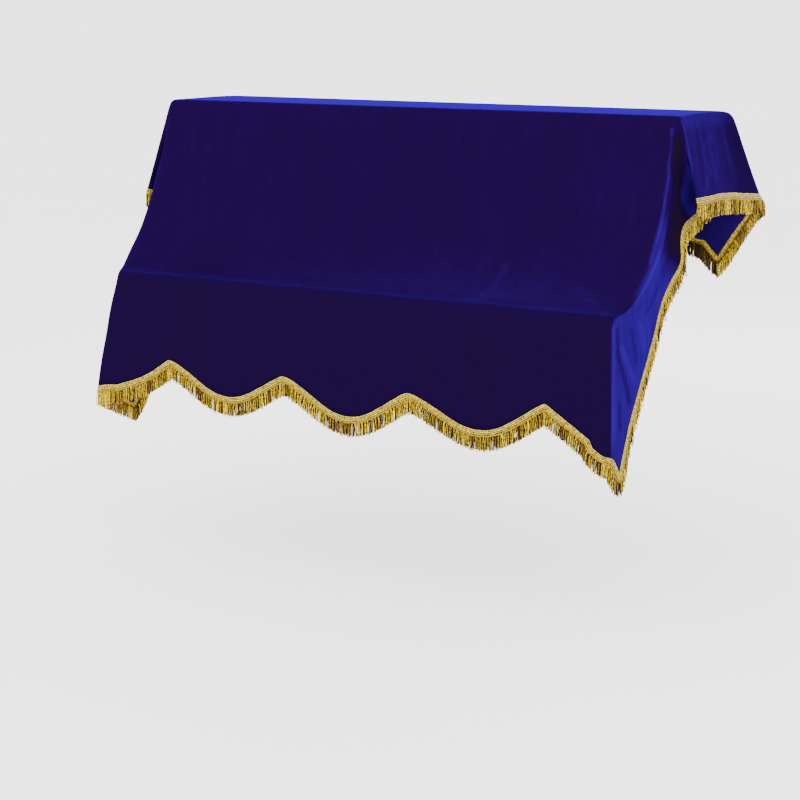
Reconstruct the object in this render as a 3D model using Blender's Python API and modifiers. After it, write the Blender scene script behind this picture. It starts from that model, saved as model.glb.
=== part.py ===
"""Velvet cover of an upright piano, hanging over the instrument, with a gold fringe on its hem.

The sheet is one piece of cloth.  It lies on the piano's top, hangs down the back and the sides,
sags from the top's front edge to the edge of the keyboard shelf and falls from there to a
scalloped hem.  Units are metres, +X is to the right of someone at the keyboard, -Y is the front,
+Z is up.  The origin is on the piano's top, in the middle, where the sheet rests on it.
"""
import math
from collections import namedtuple

import bmesh
import bpy
import numpy as np
from mathutils import Vector

COLLECTION_NAME = "piano_cover"

# The piano below the cover
TOP_DEPTH = 0.332

# The sheet
CLOTH_THICKNESS = 0.0025
CLOTH_LIFT = CLOTH_THICKNESS / 2

# The fringe: a woven heading along the hem, with locks of looped cord below it
SEAM_GAP = 0.0006
HEADING_WIDTH = 0.015
HEADING_THICKNESS = 0.0024
LOCK_LENGTH = 0.035
LOCK_PITCH = 0.027
LOCK_TIP_SHARE = 0.55
LOCK_LEAN = 0.8
SHORTEST_LOCK_ROOT = 0.012
LONGEST_MITRE = 1.3
EASING_PASSES = 4
FLATTEST_COSINE = math.cos(math.radians(25))

MM = 0.001

# Cross sections of the sheet from its back hem to its front hem.  ridge_y and ridge_z place the
# fold between the middle panel and the side; y is measured from the top's front edge.
Section = namedtuple("Section", "name ridge_y ridge_z steps")
SECTIONS = (
    Section("back hem", 352, -335, 2),
    Section("back lower", 352, -250, 2),
    Section("back middle", 352, -165, 2),
    Section("back upper", 351, -80, 2),
    Section("back roll", 348, -30, 2),
    Section("back edge", 337, -8, 2),
    Section("top rear", 300, -1, 2),
    Section("top middle", 180, 1, 2),
    Section("top front", 75, 1, 2),
    Section("top lip", 24, 1, 2),
    Section("front edge", -8, 3, 2),
    Section("fall 1", -16, -28, 2),
    Section("fall 2", -22, -75, 2),
    Section("fall 3", -29, -130, 2),
    Section("fall 4", -43, -190, 2),
    Section("fall 5", -57, -250, 2),
    Section("fall 6", -82, -310, 2),
    Section("fall 7", -120, -362, 2),
    Section("fall 8", -170, -407, 2),
    Section("shelf", -228, -446, 2),
    Section("shelf edge", -303, -437, 2),
    Section("drop 1", -303, -474, 2),
    Section("drop 2", -296, -542, 2),
    Section("drop 3", -291, -612, 1),
    Section("drop 4", -290, -689, 1),
    Section("front hem", -290, -776, 0),
)

# The side panels, section by section: where the ridge lies across the piano, and the hem point.
# late is over 1 where the cloth leaves its straight line only near the hem, as a tuck does.
Side = namedtuple("Side", "name ridge_x edge_x edge_y edge_z late")
RIGHT_SIDE = (
    Side("back hem", 690, 724, 361, -376, 1.0),
    Side("back lower", 706, 744, 368, -340, 1.0),
    Side("back middle", 722, 764, 386, -302, 1.0),
    Side("back upper", 738, 780, 424, -264, 1.2),
    Side("back roll", 760, 800, 466, -224, 1.4),
    Side("back edge", 760, 806, 415, -218, 1.3),
    Side("top rear", 755, 801, 330, -210, 1.0),
    Side("top middle", 755, 800, 190, -194, 1.0),
    Side("top front", 755, 800, 80, -195, 1.0),
    Side("top lip", 757, 808, -12, -191, 1.2),
    Side("front edge", 757, 787, 56, -194, 1.6),
    Side("fall 1", 755, 775, 126, -200, 1.9),
    Side("fall 2", 754, 761, 140, -237, 1.8),
    Side("fall 3", 754, 761, 78, -245, 1.4),
    Side("fall 4", 754, 766, 8, -258, 1.0),
    Side("fall 5", 754, 765, 2, -304, 1.0),
    Side("fall 6", 753, 762, 30, -352, 1.0),
    Side("fall 7", 748, 758, -29, -383, 1.0),
    Side("fall 8", 741, 755, -65, -420, 1.0),
    Side("shelf", 734, 744, -70, -463, 1.0),
    Side("shelf edge", 733, 741, -80, -508, 1.0),
    Side("drop 1", 733, 740, -118, -564, 1.0),
    Side("drop 2", 732, 739, -157, -625, 1.0),
    Side("drop 3", 731, 738, -197, -683, 1.0),
    Side("drop 4", 732, 739, -237, -752, 1.0),
    Side("front hem", 733, 741, -269, -817, 1.0),
)
LEFT_SIDE = (
    Side("back hem", 690, 742, 364, -405, 1.0),
    Side("back lower", 706, 754, 370, -362, 1.0),
    Side("back middle", 722, 770, 384, -318, 1.0),
    Side("back upper", 738, 780, 410, -278, 1.2),
    Side("back roll", 760, 805, 465, -246, 1.4),
    Side("back edge", 760, 812, 420, -240, 1.3),
    Side("top rear", 756, 811, 335, -238, 1.0),
    Side("top middle", 755, 811, 190, -235, 1.0),
    Side("top front", 755, 811, 80, -236, 1.0),
    Side("top lip", 756, 811, 25, -237, 1.0),
    Side("front edge", 754, 812, -16, -240, 1.0),
    Side("fall 1", 750, 808, -72, -245, 1.2),
    Side("fall 2", 753, 791, -10, -255, 1.5),
    Side("fall 3", 763, 783, 38, -268, 1.5),
    Side("fall 4", 780, 773, 42, -308, 1.2),
    Side("fall 5", 789, 775, 22, -350, 1.0),
    Side("fall 6", 795, 774, 0, -395, 1.0),
    Side("fall 7", 793, 768, -25, -440, 1.0),
    Side("fall 8", 789, 764, -40, -475, 1.0),
    Side("shelf", 768, 756, -50, -505, 1.0),
    Side("shelf edge", 720, 750, -60, -540, 1.0),
    Side("drop 1", 728, 750, -80, -600, 1.0),
    Side("drop 2", 759, 753, -105, -665, 1.0),
    Side("drop 3", 777, 757, -135, -725, 1.0),
    Side("drop 4", 801, 764, -160, -785, 1.0),
    Side("front hem", 817, 770, -203, -835, 1.0),
)
# Control stations across a side panel, from the ridge (0) to the hem (1)
SIDE_STATIONS = (0.10, 0.38, 0.70, 1.0)
# Control stations across the middle panel, as shares of its width
PANEL_STATIONS = (0.010, 0.13, 0.32, 0.50, 0.68, 0.87, 0.990)
SIDE_STEPS = (1, 2, 2, 2)
RIDGE_STEPS = 2

# Scallops: how far the hem rises above the lowest line of the panel
Scallop = namedtuple("Scallop", "name x_from x_to rise_from rise_to belly steps")
FRONT_SCALLOPS = (
    Scallop("left end", -817, -745, 10, 20, -2, 1),
    Scallop("left corner", -745, -581, 20, 110, 13, 3),
    Scallop("left lobe", -581, -207, 110, 103, 79, 6),
    Scallop("middle lobe", -207, 170, 103, 99, 84, 6),
    Scallop("right lobe", 170, 556, 99, 115, 81, 6),
    Scallop("right corner", 556, 674, 115, 38, 0, 2),
    Scallop("right pleat", 674, 682, 38, 19, 0, 1),
    Scallop("right end", 682, 730, 19, 0, 5, 1),
)
BACK_SCALLOPS = (
    Scallop("left corner", -742, -581, 0, 80, 15, 3),
    Scallop("left lobe", -581, -207, 80, 80, 75, 6),
    Scallop("middle lobe", -207, 170, 80, 80, 75, 6),
    Scallop("right lobe", 170, 556, 80, 80, 75, 6),
    Scallop("right corner", 556, 715, 80, 0, 15, 3),
)
# Control spans at each end of the sheet over which its rows close up to follow the scallops
SCALLOP_SPANS = 4
# A lobe sags as a sine, with its low point leaning to the right and its ends drawn to points
LOBE_LEAN = 1.15
LOBE_POINT = 1.3
# Points that measure where the hem's cusps fall, and the least share of a control span that
# parts two columns of the grid
HEM_SAMPLES = 400
CLOSEST_COLUMNS = 0.05


def side_points(section, side, sign):
    """Control points from the ridge of one side to its hem."""
    ridge = np.array([sign * side.ridge_x, section.ridge_y, section.ridge_z], float)
    edge = np.array([sign * side.edge_x, side.edge_y, side.edge_z], float)
    points = [ridge]
    for share in SIDE_STATIONS:
        along = np.array([share ** (1 / side.late), share ** side.late, share])
        points.append(ridge + (edge - ridge) * along)
    return points


def control_net():
    """Grid of control points: sections from back to front, each from left hem to right hem."""
    net = []
    for section, left, right in zip(SECTIONS, LEFT_SIDE, RIGHT_SIDE):
        left_points = side_points(section, left, -1)
        right_points = side_points(section, right, 1)
        ridge_left, ridge_right = left_points[0], right_points[0]
        panel = [ridge_left + (ridge_right - ridge_left) * share for share in PANEL_STATIONS]
        net.append(left_points[::-1] + panel + right_points)
    net = np.array(net) * MM
    net[..., 1] -= TOP_DEPTH / 2
    return net


def spline_basis(values, count):
    """Indices and weights of a cubic B-spline that ends on its first and last points."""
    span = np.clip(np.floor(values).astype(int), 0, count - 2)
    f = values - span
    weights = np.stack([(1 - f) ** 3, 3 * f ** 3 - 6 * f ** 2 + 4,
                        -3 * f ** 3 + 3 * f ** 2 + 3 * f + 1, f ** 3], -1) / 6
    return span, weights


def padded(net, axis):
    """The net with one more row beyond each end, so that the surface reaches its edge."""
    net = np.moveaxis(net, axis, 0)
    first = 2 * net[0] - net[1]
    last = 2 * net[-1] - net[-2]
    return np.moveaxis(np.concatenate([first[None], net, last[None]]), 0, axis)


def surface(net, rows, columns):
    """Points of the sheet at arrays of row and column values, in units of control spans."""
    row_span, row_weight = spline_basis(rows, net.shape[0])
    column_span, column_weight = spline_basis(columns, net.shape[1])
    full = padded(padded(net, 0), 1)
    points = np.zeros(rows.shape + (3,))
    for i in range(4):
        for j in range(4):
            weight = row_weight[..., i] * column_weight[..., j]
            points += weight[..., None] * full[row_span + i, column_span + j]
    return points


def stepped(steps):
    """Parameter values that cut each control span into its own number of steps."""
    values = [0.0]
    for span, count in enumerate(steps):
        values += [span + (k + 1) / count for k in range(count)]
    return np.array(values)


def scallop_rise(x, scallops):
    """Height of the scalloped hem above the panel's lowest line at x."""
    for lobe in scallops:
        if lobe.x_from * MM <= x <= lobe.x_to * MM:
            t = (x - lobe.x_from * MM) / ((lobe.x_to - lobe.x_from) * MM)
            line = lobe.rise_from + (lobe.rise_to - lobe.rise_from) * t
            sag = max(math.sin(math.pi * t ** LOBE_LEAN), 0.0) ** LOBE_POINT
            return (line - lobe.belly * sag) * MM
    return 0.0


def column_values(net):
    """Column values of the sheet's grid, with a column on every cusp of the scallops."""
    side_spans = len(SIDE_STATIONS)
    spans = net.shape[1] - 1
    left = stepped(SIDE_STEPS[::-1] + (RIDGE_STEPS,))
    right = spans - left[::-1]
    fine = np.linspace(side_spans, spans - side_spans, HEM_SAMPLES)
    last_row = np.full_like(fine, net.shape[0] - 1.0)
    fine_x = surface(net, last_row, fine)[:, 0]
    panel_x = []
    for lobe in FRONT_SCALLOPS:
        panel_x += [lobe.x_from + (lobe.x_to - lobe.x_from) * k / lobe.steps
                    for k in range(lobe.steps)]
    panel_x.append(FRONT_SCALLOPS[-1].x_to)
    middle = np.interp(np.array(panel_x) * MM, fine_x, fine)
    clear_of_sides = (middle > left[-1] + CLOSEST_COLUMNS) & (middle < right[0] - CLOSEST_COLUMNS)
    middle = middle[clear_of_sides]
    return np.concatenate([left, middle, right])


def sheet_grid():
    """Grid of the sheet's points, from the back hem to the front hem."""
    net = control_net()
    columns = column_values(net)
    rows = stepped([section.steps for section in SECTIONS[:-1]])
    last = net.shape[0] - 1
    row_grid = np.repeat(rows[:, None], len(columns), 1)
    column_grid = np.repeat(columns[None, :], len(rows), 0)
    hem_x = surface(net, np.full_like(columns, float(last)), columns)[:, 0]
    front_span = -(SECTIONS[-1].ridge_z - SECTIONS[-2].ridge_z) * MM
    back_span = (SECTIONS[1].ridge_z - SECTIONS[0].ridge_z) * MM
    for j, x in enumerate(hem_x):
        cut = scallop_rise(x, FRONT_SCALLOPS) / front_span
        near = np.clip((rows - (last - SCALLOP_SPANS)) / SCALLOP_SPANS, 0, 1)
        row_grid[:, j] -= cut * near
        cut = scallop_rise(x, BACK_SCALLOPS) / back_span
        near = np.clip((SCALLOP_SPANS - rows) / SCALLOP_SPANS, 0, 1)
        row_grid[:, j] += cut * near
    grid = surface(net, row_grid, column_grid)
    grid[..., 2] += CLOTH_LIFT
    return grid


def make_material(name, color, roughness, sheen):
    """Material of one kind of cloth or yarn."""
    material = bpy.data.materials.new(name)
    material.use_nodes = True
    shader = material.node_tree.nodes["Principled BSDF"]
    shader.inputs["Base Color"].default_value = (*color, 1.0)
    shader.inputs["Roughness"].default_value = roughness
    shader.inputs["Metallic"].default_value = 0.0
    shader.inputs["Sheen Weight"].default_value = sheen
    return material


def add_object(name, mesh, material, collection):
    """Object of one piece, with its material."""
    piece = bpy.data.objects.new(name, mesh)
    mesh.materials.append(material)
    collection.objects.link(piece)
    return piece


def grid_mesh(name, grid):
    """Open surface through a grid of points."""
    rows, columns = grid.shape[:2]
    index = np.arange(rows * columns).reshape(rows, columns)
    faces = [(int(index[i, j]), int(index[i, j + 1]), int(index[i + 1, j + 1]), int(index[i + 1, j]))
             for i in range(rows - 1) for j in range(columns - 1)]
    mesh = bpy.data.meshes.new(name)
    mesh.from_pydata(grid.reshape(-1, 3).tolist(), [], faces)
    mesh.flip_normals()
    mesh.shade_smooth()
    return mesh


def make_cloth(grid, material, collection):
    """The velvet sheet, thickened evenly about its middle surface."""
    cloth = add_object("cover_cloth", grid_mesh("cover_cloth", grid), material, collection)
    shell = cloth.modifiers.new("thickness", "SOLIDIFY")
    shell.thickness = CLOTH_THICKNESS
    shell.offset = 0.0
    shell.use_even_offset = False
    return cloth


def unit(vector):
    """Vector of length one."""
    return vector / np.linalg.norm(vector)


def hem_frame(line, inner, normals, k):
    """Direction along the hem at its point k, the way out of the cloth there, and its stretch.

    The stretch keeps the heading's width even where the hem turns, as a mitre does.
    """
    first = unit(line[k] - line[k - 1]) if k > 0 else unit(line[1] - line[0])
    second = unit(line[k + 1] - line[k]) if k < len(line) - 1 else first
    along = unit(first + second)
    out = unit(np.cross(normals[k], along))
    if np.dot(out, line[k] - inner[k]) < 0:
        out = -out
    return along, out, 1 / max(float(np.dot(along, first)), 1 / LONGEST_MITRE)


def eased(vectors, passes):
    """Unit vectors evened out along a line, but for its two ends."""
    vectors = np.array(vectors)
    for _ in range(passes):
        vectors[1:-1] = (vectors[:-2] + 2 * vectors[1:-1] + vectors[2:]) / 4
        vectors /= np.linalg.norm(vectors, axis=1, keepdims=True)
    return vectors


def heading_rings(line, inner, normals, start_out, end_out):
    """Section of the heading at each point along a hem: four corners, its way out, its normal."""
    frames = [hem_frame(line, inner, normals, k) for k in range(len(line))]
    outs = [out for _, out, _ in frames]
    outs[0] = unit(outs[0] + start_out)
    outs[-1] = unit(outs[-1] + end_out)
    eased_outs = eased(outs, EASING_PASSES)
    places = np.array(line)
    places[0] += frames[0][0] * SEAM_GAP
    places[-1] -= frames[-1][0] * SEAM_GAP
    rings = []
    for k, normal in enumerate(normals):
        stretch = frames[k][2]
        near = places[k] + outs[k] * SEAM_GAP * stretch
        far = near + eased_outs[k] * HEADING_WIDTH * stretch
        half = normal * HEADING_THICKNESS / 2
        rings.append((near + half, near - half, far + half, far - half, eased_outs[k], normal))
    return rings


def divided(rings):
    """The rings with more between them, one lock's root apart."""
    fine = [rings[0]]
    for first, second in zip(rings[:-1], rings[1:]):
        length = np.linalg.norm(second[2] - first[2])
        count = max(1, round(length / LOCK_PITCH))
        for k in range(1, count + 1):
            t = k / count
            fine.append(tuple(a * (1 - t) + b * t for a, b in zip(first, second)))
    return fine


def bears_lock(first, second):
    """Whether the heading between two rings is long and flat enough for a lock."""
    long_enough = np.linalg.norm(second[2] - first[2]) >= SHORTEST_LOCK_ROOT
    flat_enough = np.dot(unit(first[5]), unit(second[5])) >= FLATTEST_COSINE
    return long_enough and flat_enough


def lock_tip(first, second):
    """The two points of a lock's lower end, which hangs between leaning out and straight down."""
    root_a = (first[2] + first[3]) / 2
    root_b = (second[2] + second[3]) / 2
    way = unit(unit(first[4] + second[4]) + np.array([0.0, 0.0, -LOCK_LEAN]))
    middle = (root_a + root_b) / 2 + way * LOCK_LENGTH
    half = (root_b - root_a) / 2 * LOCK_TIP_SHARE
    return middle - half, middle + half


def seam_faces(a, b, out):
    """The heading's face towards the cloth, creased along the diagonal that keeps it clear."""
    out = Vector(out)
    if (a[0].co + b[1].co).dot(out) > (b[0].co + a[1].co).dot(out):
        return (a[0], b[0], b[1]), (a[0], b[1], a[1])
    return (a[0], b[0], a[1]), (b[0], b[1], a[1])


def make_fringe(name, hem, ends, material, collection):
    """Heading along one hem with its locks, all one body."""
    rings = divided(heading_rings(*hem, *ends))
    mesh = bpy.data.meshes.new(name)
    shape = bmesh.new()
    corners = [[shape.verts.new(point) for point in ring[:4]] for ring in rings]
    for k in range(len(rings) - 1):
        a, b = corners[k], corners[k + 1]
        for face in seam_faces(a, b, rings[k][4] + rings[k + 1][4]):
            shape.faces.new(face)
        shape.faces.new((a[0], a[2], b[2], b[0]))
        shape.faces.new((a[1], b[1], b[3], a[3]))
        if not bears_lock(rings[k], rings[k + 1]):
            shape.faces.new((a[2], a[3], b[3], b[2]))
            continue
        tip_a, tip_b = [shape.verts.new(point) for point in lock_tip(rings[k], rings[k + 1])]
        shape.faces.new((a[2], tip_a, tip_b, b[2]))
        shape.faces.new((a[3], b[3], tip_b, tip_a))
        shape.faces.new((a[2], a[3], tip_a))
        shape.faces.new((b[3], b[2], tip_b))
    for ring in (corners[0], corners[-1]):
        shape.faces.new((ring[0], ring[1], ring[3], ring[2]))
    bmesh.ops.recalc_face_normals(shape, faces=shape.faces)
    shape.to_mesh(mesh)
    shape.free()
    return add_object(name, mesh, material, collection)


def make_fringes(grid, normals, material, collection):
    """The trim on the four hems, mitred where two of them meet."""
    hems = {
        "fringe_back": (grid[0], grid[1], normals[0]),
        "fringe_front": (grid[-1], grid[-2], normals[-1]),
        "fringe_left": (grid[:, 0], grid[:, 1], normals[:, 0]),
        "fringe_right": (grid[:, -1], grid[:, -2], normals[:, -1]),
    }
    out = {}
    for name, hem in hems.items():
        out[name] = [hem_frame(*hem, k)[1] for k in (0, len(hem[0]) - 1)]
    ends = {
        "fringe_back": (out["fringe_left"][0], out["fringe_right"][0]),
        "fringe_front": (out["fringe_left"][1], out["fringe_right"][1]),
        "fringe_left": (out["fringe_back"][0], out["fringe_front"][0]),
        "fringe_right": (out["fringe_back"][1], out["fringe_front"][1]),
    }
    for name, hem in hems.items():
        make_fringe(name, hem, ends[name], material, collection)


def clear_scene():
    """Empty the scene."""
    for item in list(bpy.data.objects):
        bpy.data.objects.remove(item, do_unlink=True)


def main():
    clear_scene()
    collection = bpy.data.collections.new(COLLECTION_NAME)
    bpy.context.scene.collection.children.link(collection)
    velvet = make_material("royal_blue_velvet", (0.015, 0.01, 0.30), 0.85, 0.6)
    grid = sheet_grid()
    cloth = make_cloth(grid, velvet, collection)
    normals = np.array([vertex.normal for vertex in cloth.data.vertices]).reshape(grid.shape)
    gold = make_material("gold_yarn", (0.80, 0.55, 0.10), 0.6, 0.2)
    make_fringes(grid, normals, gold, collection)


main()
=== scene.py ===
"""Looks of the piano cover: the fine velvet sheet, its gold fringe, the light and the camera.

Units are metres in the CAD's own frame: +X to the right of someone at the keyboard, -Y the front,
+Z up, the origin in the middle of the piano's top.
"""
import math
import random
from collections import namedtuple

import bpy
import numpy as np
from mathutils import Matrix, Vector


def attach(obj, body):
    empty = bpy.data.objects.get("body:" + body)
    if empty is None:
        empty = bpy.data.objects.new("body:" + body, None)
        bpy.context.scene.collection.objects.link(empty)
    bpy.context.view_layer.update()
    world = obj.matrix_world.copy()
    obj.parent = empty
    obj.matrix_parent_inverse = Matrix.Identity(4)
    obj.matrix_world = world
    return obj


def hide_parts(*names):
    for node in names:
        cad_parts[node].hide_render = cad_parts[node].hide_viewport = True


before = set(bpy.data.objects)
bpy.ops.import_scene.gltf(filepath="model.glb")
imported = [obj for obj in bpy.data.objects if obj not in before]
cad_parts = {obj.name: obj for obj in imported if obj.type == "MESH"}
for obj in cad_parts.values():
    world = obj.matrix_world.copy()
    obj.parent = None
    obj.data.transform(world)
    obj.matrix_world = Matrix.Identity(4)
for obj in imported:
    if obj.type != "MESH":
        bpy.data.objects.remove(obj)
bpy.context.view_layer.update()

MM = 0.001
TINY = 1e-12
TOP_DEPTH = 0.332

# ---------------------------------------------------------------------------
# The sheet: the same sections and sides as the CAD model, drawn finer
# ---------------------------------------------------------------------------
CLOTH_THICKNESS = 0.0025
CLOTH_LIFT = CLOTH_THICKNESS / 2

# In mm: y back from the front edge of the piano's top, z up from the top.  steps is how many rows
# the CAD has up to the next section.
Section = namedtuple("Section", "name ridge_y ridge_z steps")
SECTIONS = (
    Section("back hem", 352, -335, 2),
    Section("back lower", 352, -250, 2),
    Section("back middle", 352, -165, 2),
    Section("back upper", 351, -80, 2),
    Section("back roll", 348, -30, 2),
    Section("back edge", 337, -8, 2),
    Section("top rear", 300, -1, 2),
    Section("top middle", 180, 1, 2),
    Section("top front", 75, 1, 2),
    Section("top lip", 24, 1, 2),
    Section("front edge", -8, 3, 2),
    Section("fall 1", -16, -28, 2),
    Section("fall 2", -22, -75, 2),
    Section("fall 3", -29, -130, 2),
    Section("fall 4", -43, -190, 2),
    Section("fall 5", -57, -250, 2),
    Section("fall 6", -82, -310, 2),
    Section("fall 7", -120, -362, 2),
    Section("fall 8", -170, -407, 2),
    Section("shelf", -228, -446, 2),
    Section("shelf edge", -303, -437, 2),
    Section("drop 1", -303, -474, 2),
    Section("drop 2", -296, -542, 2),
    Section("drop 3", -291, -612, 1),
    Section("drop 4", -290, -689, 1),
    Section("front hem", -290, -776, 0),
)
# In mm: x out from the middle to a side's ridge, and where its hem is.  On the way down from the
# ridge a late above 1 moves the cloth out sooner, and forward or back later.
Side = namedtuple("Side", "name ridge_x edge_x edge_y edge_z late")
RIGHT_SIDE = (
    Side("back hem", 690, 724, 361, -376, 1.0),
    Side("back lower", 706, 744, 368, -340, 1.0),
    Side("back middle", 722, 764, 386, -302, 1.0),
    Side("back upper", 738, 780, 424, -264, 1.2),
    Side("back roll", 760, 800, 466, -224, 1.4),
    Side("back edge", 760, 806, 415, -218, 1.3),
    Side("top rear", 755, 801, 330, -210, 1.0),
    Side("top middle", 755, 800, 190, -194, 1.0),
    Side("top front", 755, 800, 80, -195, 1.0),
    Side("top lip", 757, 808, -12, -191, 1.2),
    Side("front edge", 757, 787, 56, -194, 1.6),
    Side("fall 1", 755, 775, 126, -200, 1.9),
    Side("fall 2", 754, 761, 140, -237, 1.8),
    Side("fall 3", 754, 761, 78, -245, 1.4),
    Side("fall 4", 754, 766, 8, -258, 1.0),
    Side("fall 5", 754, 765, 2, -304, 1.0),
    Side("fall 6", 753, 762, 30, -352, 1.0),
    Side("fall 7", 748, 758, -29, -383, 1.0),
    Side("fall 8", 741, 755, -65, -420, 1.0),
    Side("shelf", 734, 744, -70, -463, 1.0),
    Side("shelf edge", 733, 741, -80, -508, 1.0),
    Side("drop 1", 733, 740, -118, -564, 1.0),
    Side("drop 2", 732, 739, -157, -625, 1.0),
    Side("drop 3", 731, 738, -197, -683, 1.0),
    Side("drop 4", 732, 739, -237, -752, 1.0),
    Side("front hem", 733, 741, -269, -817, 1.0),
)
LEFT_SIDE = (
    Side("back hem", 690, 742, 364, -405, 1.0),
    Side("back lower", 706, 754, 370, -362, 1.0),
    Side("back middle", 722, 770, 384, -318, 1.0),
    Side("back upper", 738, 780, 410, -278, 1.2),
    Side("back roll", 760, 805, 465, -246, 1.4),
    Side("back edge", 760, 812, 420, -240, 1.3),
    Side("top rear", 756, 811, 335, -238, 1.0),
    Side("top middle", 755, 811, 190, -235, 1.0),
    Side("top front", 755, 811, 80, -236, 1.0),
    Side("top lip", 756, 811, 25, -237, 1.0),
    Side("front edge", 754, 812, -16, -240, 1.0),
    Side("fall 1", 750, 808, -72, -245, 1.2),
    Side("fall 2", 753, 791, -10, -255, 1.5),
    Side("fall 3", 763, 783, 38, -268, 1.5),
    Side("fall 4", 780, 773, 42, -308, 1.2),
    Side("fall 5", 789, 775, 22, -350, 1.0),
    Side("fall 6", 795, 774, 0, -395, 1.0),
    Side("fall 7", 793, 768, -25, -440, 1.0),
    Side("fall 8", 789, 764, -40, -475, 1.0),
    Side("shelf", 768, 756, -50, -505, 1.0),
    Side("shelf edge", 720, 750, -60, -540, 1.0),
    Side("drop 1", 728, 750, -80, -600, 1.0),
    Side("drop 2", 759, 753, -105, -665, 1.0),
    Side("drop 3", 777, 757, -135, -725, 1.0),
    Side("drop 4", 801, 764, -160, -785, 1.0),
    Side("front hem", 817, 770, -203, -835, 1.0),
)
# Where the control points lie: down a side from its ridge, and across the panel between ridges
SIDE_STATIONS = (0.10, 0.38, 0.70, 1.0)
PANEL_STATIONS = (0.010, 0.13, 0.32, 0.50, 0.68, 0.87, 0.990)
# In mm: how high a hem's piece starts and ends over the lowest line, and how far it sags between
Scallop = namedtuple("Scallop", "name x_from x_to rise_from rise_to belly steps")
FRONT_SCALLOPS = (
    Scallop("left end", -817, -745, 10, 20, -2, 1),
    Scallop("left corner", -745, -581, 20, 110, 13, 3),
    Scallop("left lobe", -581, -207, 110, 103, 79, 6),
    Scallop("middle lobe", -207, 170, 103, 99, 84, 6),
    Scallop("right lobe", 170, 556, 99, 115, 81, 6),
    Scallop("right corner", 556, 674, 115, 38, 0, 2),
    Scallop("right pleat", 674, 682, 38, 19, 0, 1),
    Scallop("right end", 682, 730, 19, 0, 5, 1),
)
BACK_SCALLOPS = (
    Scallop("left corner", -742, -581, 0, 80, 15, 3),
    Scallop("left lobe", -581, -207, 80, 80, 75, 6),
    Scallop("middle lobe", -207, 170, 80, 80, 75, 6),
    Scallop("right lobe", 170, 556, 80, 80, 75, 6),
    Scallop("right corner", 556, 715, 80, 0, 15, 3),
)
# How many spans of rows give way to a scalloped hem
SCALLOP_SPANS = 4
# A lobe sags as a sine, with its low point leaning to the right and its ends drawn to points
LOBE_LEAN = 1.15
LOBE_POINT = 1.3
HEM_SAMPLES = 400
# Grid rows and columns of the fine sheet for each step of the CAD's, and columns of its sides
FINER = 4
SIDE_FINER = 6
SIDE_STEPS = (1, 2, 2, 2)
RIDGE_STEPS = 2
# Least distance of the panel's columns from the ridges, in control spans
COLUMN_GAP = 0.02

# Each crease fades towards its ends as a half wave, which this start and span cut short
CREASE_FADE = (0.12, 0.76)
# Soft creases: low ridges along straight lines on the sheet, in mm in the frame
Crease = namedtuple("Crease", "name start end width height")
CREASES = (
    Crease("right ridge", (749, -178, -18), (751, -200, -150), 5, 1.8),
    Crease("right flap front", (764, -70, -25), (797, -92, -185), 10, 3.0),
    Crease("right flap middle", (764, -30, -30), (799, -22, -190), 14, 3.0),
    Crease("right flap rear", (764, 70, -30), (799, 92, -190), 20, 3.0),
    Crease("right corner 1", (737, -438, -450), (752, -372, -700), 9, 2.6),
    Crease("right corner 2", (738, -425, -445), (751, -322, -600), 10, 2.6),
    Crease("right corner 3", (740, -405, -435), (750, -280, -520), 10, 2.4),
    Crease("left flap front", (-766, -90, -25), (-806, -100, -225), 12, 3.0),
    Crease("left flap middle", (-764, 0, -30), (-808, 10, -225), 18, 3.0),
    Crease("left flap rear", (-764, 90, -30), (-808, 105, -225), 16, 3.0),
    Crease("left corner 1", (-745, -430, -450), (-795, -350, -760), 12, 2.6),
    Crease("left corner 2", (-745, -400, -440), (-765, -280, -620), 12, 2.6),
    Crease("back 1", (-470, 186, -50), (-500, 186, -300), 34, 4.5),
    Crease("back 2", (-190, 186, -45), (-180, 186, -300), 40, 4.0),
    Crease("back 3", (150, 186, -45), (170, 186, -300), 36, 4.5),
    Crease("back 4", (480, 186, -50), (520, 186, -300), 34, 4.5),
    Crease("drop 1", (-600, -458, -450), (-640, -456, -700), 30, 3.0),
    Crease("drop 2", (-330, -460, -450), (-350, -456, -720), 36, 2.5),
    Crease("drop 3", (30, -460, -450), (10, -456, -720), 40, 2.5),
    Crease("drop 4", (400, -460, -450), (385, -456, -720), 34, 2.5),
    Crease("drop 5", (640, -460, -450), (660, -456, -720), 26, 3.0),
    Crease("shelf pull", (380, -425, -418), (560, -300, -360), 30, 2.5),
)

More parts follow.
